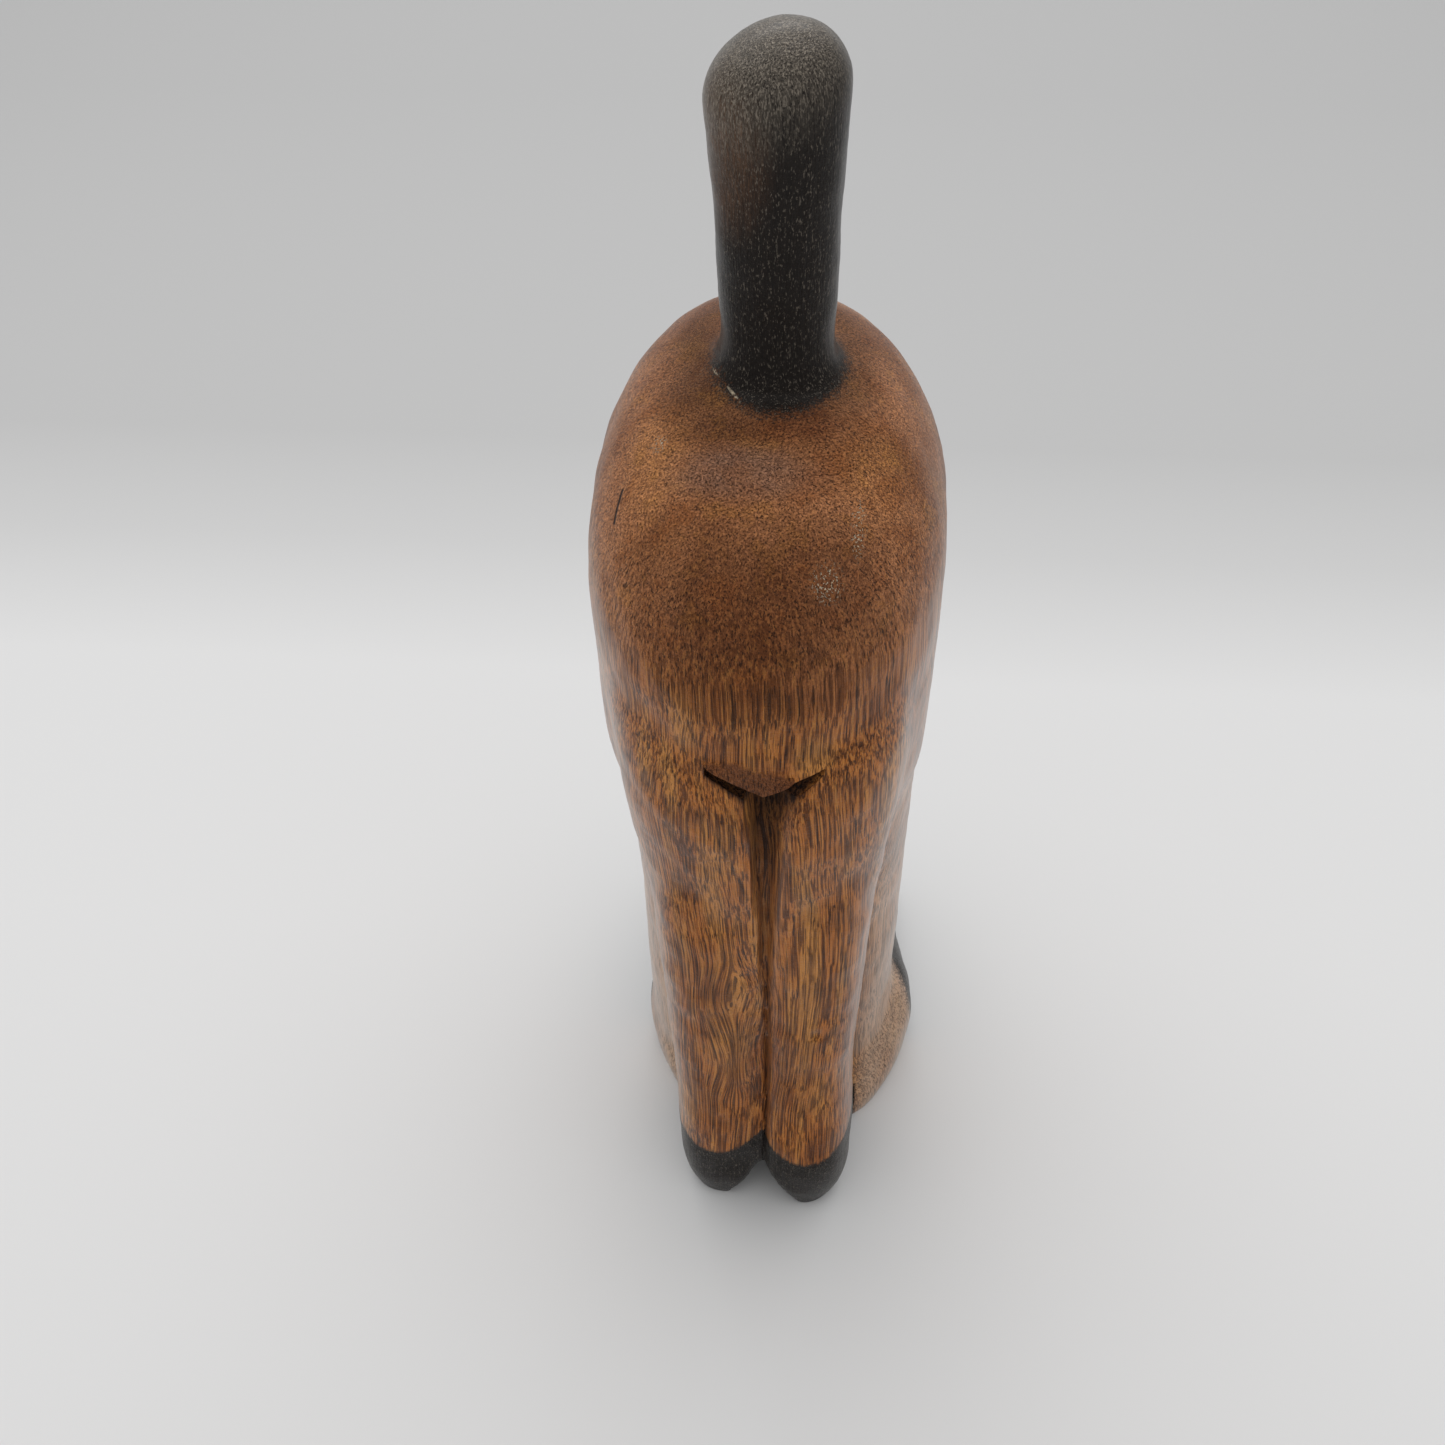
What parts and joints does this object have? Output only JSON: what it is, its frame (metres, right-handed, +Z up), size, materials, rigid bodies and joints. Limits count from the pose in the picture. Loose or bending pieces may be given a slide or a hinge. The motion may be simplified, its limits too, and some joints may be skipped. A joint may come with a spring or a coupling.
{
  "type": "wooden cat figurine",
  "caption": "Carved and painted wooden cat standing in a deep bow, tail up and rump high, head and forelegs on the floor.",
  "frame": {"origin": "centre of the bounding box in plan, on the flat underside", "axes": "+Z up along the tail and the wood's grain, -Y forward along the cat's forelegs and head, +X to the cat's left"},
  "size_m": [0.075, 0.1284, 0.2869],
  "materials": {
    "oiled_wood": "satin, oiled brown, with the tail, paws and face painted black-brown"
  },
  "bodies": {
    "root": {"carved_cat": "oiled_wood"}
  },
  "joints": []
}
